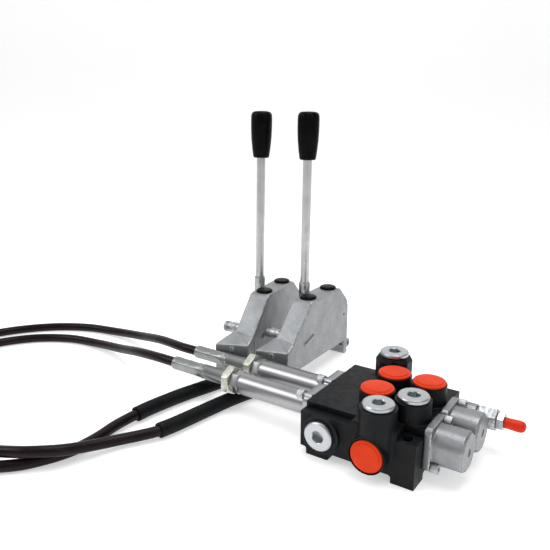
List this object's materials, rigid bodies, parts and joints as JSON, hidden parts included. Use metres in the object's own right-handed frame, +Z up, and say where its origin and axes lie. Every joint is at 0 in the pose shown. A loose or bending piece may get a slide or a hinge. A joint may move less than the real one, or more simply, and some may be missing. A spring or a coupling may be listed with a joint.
{
  "type": "hydraulic monoblock valve with remote lever controls",
  "caption": "Monoblock spool valve with plugged and capped ports, spring caps and a relief valve; hand levers in cast boxes move its spools through flexible push-pull cables.",
  "frame": {"origin": "on the plane that the feet stand on, midway between the work ports of the valve", "axes": "+Z up; X runs along the spools with the spring caps at +X and the cable adapters at -X; +Y towards the inlet side and the lever boxes"},
  "size_m": [0.6538, 0.4635, 0.2854],
  "materials": {
    "black_paint": "satin black paint on cast iron",
    "zinc": "bright zinc plate",
    "yellow_zinc": "pale yellow zinc plate",
    "steel": "ground or rolled steel",
    "cast_aluminium": "tumbled die casting",
    "machined_aluminium": "turned, fine lay lines",
    "satin_chrome": "satin",
    "orange_plastic": "moulded, semi-matt",
    "red_plastic": "moulded, glossy",
    "black_plastic": "moulded, semi-gloss",
    "black_rubber": "smooth, matt",
    "conduit_jacket": "extruded, satin"
  },
  "bodies": {
    "valve": {"adapter_screw_front_lower": "zinc", "adapter_screw_front_upper": "zinc", "adapter_screw_rear_lower": "zinc", "adapter_screw_rear_upper": "zinc", "box_plug_front_far": "black_plastic", "box_plug_front_near": "black_plastic", "box_plug_rear_far": "black_plastic", "box_plug_rear_near": "black_plastic", "cable_adapter_front": "machined_aluminium", "cable_adapter_rear": "machined_aluminium", "cable_fitting_front": "steel", "cable_fitting_rear": "steel", "cable_jacket_front": "conduit_jacket", "cable_jacket_rear": "conduit_jacket", "cable_sleeve_front": "black_rubber", "cable_sleeve_rear": "black_rubber", "cap_screw_front_lower": "zinc", "cap_screw_front_upper": "zinc", "cap_screw_rear_lower": "zinc", "cap_screw_rear_upper": "zinc", "centring_spring_front": "steel", "centring_spring_rear": "steel", "check_spring": "steel", "end_cap_front": "cast_aluminium", "end_cap_rear": "cast_aluminium", "lever_box_front": "cast_aluminium", "lever_box_rear": "cast_aluminium", "lock_nut_front": "yellow_zinc", "lock_nut_rear": "yellow_zinc", "plug_carry_over": "zinc", "plug_inlet_top": "zinc", "plug_tank_top": "zinc", "plug_work_b1": "zinc", "relief_body": "cast_aluminium", "relief_lock_nut": "zinc", "relief_spring": "steel", "tie_pin_front": "cast_aluminium", "tie_pin_rear": "cast_aluminium", "valve_body": "black_paint"},
    "lever_front_assembly": {"lever_front": "satin_chrome", "knob_front": "black_plastic", "crank_shaft_front": "steel"},
    "lever_rear_assembly": {"lever_rear": "satin_chrome", "knob_rear": "black_plastic", "crank_shaft_rear": "steel"},
    "spool_front_slide": {"spool_front": "steel"},
    "spool_rear_slide": {"spool_rear": "steel"},
    "core_front": {"core_rod_front": "steel"},
    "core_rear": {"core_rod_rear": "steel"},
    "check_valve": {"check_poppet": "steel"},
    "relief_valve_poppet": {"relief_poppet": "steel"},
    "relief_seat": {"relief_spring_seat": "steel"},
    "relief_screw": {"relief_adjust_screw": "steel"},
    "relief_screw_cap": {"relief_cap": "red_plastic"},
    "cap_a1": {"port_cap_a1": "orange_plastic"},
    "cap_a2": {"port_cap_a2": "orange_plastic"},
    "cap_b2": {"port_cap_b2": "orange_plastic"},
    "cap_tank": {"port_cap_tank_side": "orange_plastic"},
    "cap_inlet": {"port_cap_inlet_side": "orange_plastic"}
  },
  "joints": [
    {"name": "lever_front_swing", "type": "hinge", "parent": "valve", "child": "lever_front_assembly", "pos_m": [-0.154, 0.118, 0.046], "axis": [1, 0, 0], "range_deg": [-16, 16], "stiffness_Nm_per_rad": 2},
    {"name": "lever_rear_swing", "type": "hinge", "parent": "valve", "child": "lever_rear_assembly", "pos_m": [-0.2102, 0.1105, 0.046], "axis": [0.9936, 0.1132, 0], "range_deg": [-16, 16], "stiffness_Nm_per_rad": 2},
    {"name": "spool_front_shift", "type": "slide", "parent": "valve", "child": "spool_front_slide", "axis": [1, 0, 0], "range_m": [-0.0065, 0.0065], "deforming": ["centring_spring_front"]},
    {"name": "core_front_travel", "type": "slide", "parent": "valve", "child": "core_front", "axis": [0, 0.9857, 0.1686], "range_m": [-0.0065, 0.0065]},
    {"name": "spool_rear_shift", "type": "slide", "parent": "valve", "child": "spool_rear_slide", "axis": [1, 0, 0], "range_m": [-0.0065, 0.0065], "deforming": ["centring_spring_rear"]},
    {"name": "core_rear_travel", "type": "slide", "parent": "valve", "child": "core_rear", "axis": [-0.1116, 0.9793, 0.1686], "range_m": [-0.0065, 0.0065]},
    {"name": "check_lift", "type": "slide", "parent": "valve", "child": "check_valve", "axis": [0, 0, 1], "range_m": [0, 0.003], "stiffness_N_per_m": 300, "springref_m": -0.003, "deforming": ["check_spring"]},
    {"name": "relief_lift", "type": "slide", "parent": "valve", "child": "relief_valve_poppet", "axis": [1, 0, 0], "range_m": [0, 0.002], "stiffness_N_per_m": 2000, "springref_m": -0.002, "deforming": ["relief_spring"]},
    {"name": "relief_seat_travel", "type": "slide", "parent": "valve", "child": "relief_seat", "axis": [1, 0, 0], "range_m": [-0.002, 0.001], "deforming": ["relief_spring"]},
    {"name": "relief_adjust_turn", "type": "hinge", "parent": "relief_seat", "child": "relief_screw", "pos_m": [0.07, 0.0455, 0.0295], "axis": [1, 0, 0], "range_deg": [-730, 370]},
    {"name": "relief_cap_off", "type": "slide", "parent": "valve", "child": "relief_screw_cap", "axis": [1, 0, 0], "range_m": [0, 0.018]},
    {"name": "cap_a1_off", "type": "slide", "parent": "valve", "child": "cap_a1", "axis": [0, 0, 1], "range_m": [0, 0.013]},
    {"name": "cap_a2_off", "type": "slide", "parent": "valve", "child": "cap_a2", "axis": [0, 0, 1], "range_m": [0, 0.013]},
    {"name": "cap_b2_off", "type": "slide", "parent": "valve", "child": "cap_b2", "axis": [0, 0, 1], "range_m": [0, 0.013]},
    {"name": "cap_tank_off", "type": "slide", "parent": "valve", "child": "cap_tank", "axis": [0, -1, 0], "range_m": [0, 0.013]},
    {"name": "cap_inlet_off", "type": "slide", "parent": "valve", "child": "cap_inlet", "axis": [0, 1, 0], "range_m": [0, 0.013]}
  ],
  "couplings": [
    {"joint": "spool_front_shift", "follows": "lever_front_swing", "m_per_rad": -0.0227},
    {"joint": "core_front_travel", "follows": "lever_front_swing", "m_per_rad": 0.0227},
    {"joint": "spool_rear_shift", "follows": "lever_rear_swing", "m_per_rad": -0.0227},
    {"joint": "core_rear_travel", "follows": "lever_rear_swing", "m_per_rad": 0.0227},
    {"joint": "relief_adjust_turn", "follows": "relief_seat_travel", "rad_per_m": 6283.2}
  ]
}
